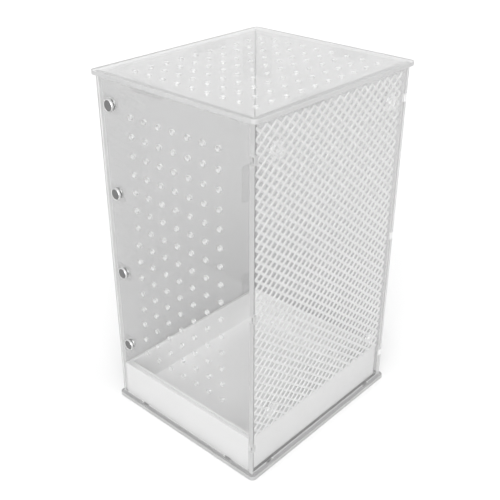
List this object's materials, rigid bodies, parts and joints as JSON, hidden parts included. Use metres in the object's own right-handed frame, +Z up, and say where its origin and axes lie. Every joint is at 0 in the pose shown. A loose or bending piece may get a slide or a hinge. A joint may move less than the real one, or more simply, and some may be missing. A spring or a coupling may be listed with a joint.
{
  "type": "reptile terrarium",
  "caption": "Tall clear acrylic reptile box with a vented front wall, a hinged side door shut by magnets, a lift-off vented lid, a white litter tray and a climbing net.",
  "frame": {"origin": "on the floor, under the middle of the base plate", "axes": "+Z up, -Y towards the vented front wall, +X towards the wall that carries the net; the hinged door is the -X wall"},
  "size_m": [0.14, 0.1574, 0.2572],
  "materials": {
    "clear_acrylic": "polished clear sheet",
    "clear_hinge_plastic": "clear moulded",
    "clear_rivet_plastic": "clear moulded",
    "white_tray_plastic": "satin white",
    "white_net_plastic": "matt white",
    "nickel_magnet": "nickel plated",
    "hinge_pin_steel": "bright wire"
  },
  "bodies": {
    "enclosure": {"base_plate": "clear_acrylic", "front_wall": "clear_acrylic", "right_wall": "clear_acrylic", "back_wall": "clear_acrylic", "front_board": "white_tray_plastic", "mesh_screen": "white_net_plastic", "front_magnet_1": "nickel_magnet", "front_magnet_2": "nickel_magnet", "front_magnet_3": "nickel_magnet", "front_magnet_4": "nickel_magnet", "mesh_rivet_1": "clear_rivet_plastic", "rivet_cap_1": "clear_rivet_plastic", "mesh_rivet_2": "clear_rivet_plastic", "rivet_cap_2": "clear_rivet_plastic", "mesh_rivet_3": "clear_rivet_plastic", "rivet_cap_3": "clear_rivet_plastic", "mesh_rivet_4": "clear_rivet_plastic", "rivet_cap_4": "clear_rivet_plastic", "hinge_back_leaf_1": "clear_hinge_plastic", "hinge_back_leaf_2": "clear_hinge_plastic", "hinge_back_leaf_3": "clear_hinge_plastic", "hinge_pin_1": "hinge_pin_steel", "hinge_pin_2": "hinge_pin_steel", "hinge_pin_3": "hinge_pin_steel"},
    "door": {"left_door": "clear_acrylic", "hinge_door_leaf_1": "clear_hinge_plastic", "hinge_door_leaf_2": "clear_hinge_plastic", "hinge_door_leaf_3": "clear_hinge_plastic", "magnet_holder_1": "clear_acrylic", "magnet_holder_2": "clear_acrylic", "magnet_holder_3": "clear_acrylic", "magnet_holder_4": "clear_acrylic", "door_magnet_1": "nickel_magnet", "door_magnet_2": "nickel_magnet", "door_magnet_3": "nickel_magnet", "door_magnet_4": "nickel_magnet"},
    "lid": {"lid_plate": "clear_acrylic", "lid_guide_front": "clear_acrylic", "lid_guide_right": "clear_acrylic", "lid_guide_back": "clear_acrylic", "lid_guide_left": "clear_acrylic"},
    "tray": {"tray": "white_tray_plastic"}
  },
  "joints": [
    {"name": "door_swing", "type": "hinge", "parent": "enclosure", "child": "door", "pos_m": [-0.0686, 0.07735, 0.1286], "axis": [0, 0, -1], "range_deg": [0, 180]},
    {"name": "lid_lift", "type": "slide", "parent": "enclosure", "child": "lid", "axis": [0, 0, 1], "range_m": [0, 0.15]},
    {"name": "tray_lift", "type": "slide", "parent": "enclosure", "child": "tray", "axis": [0, 0, 1], "range_m": [0, 0.215]}
  ]
}
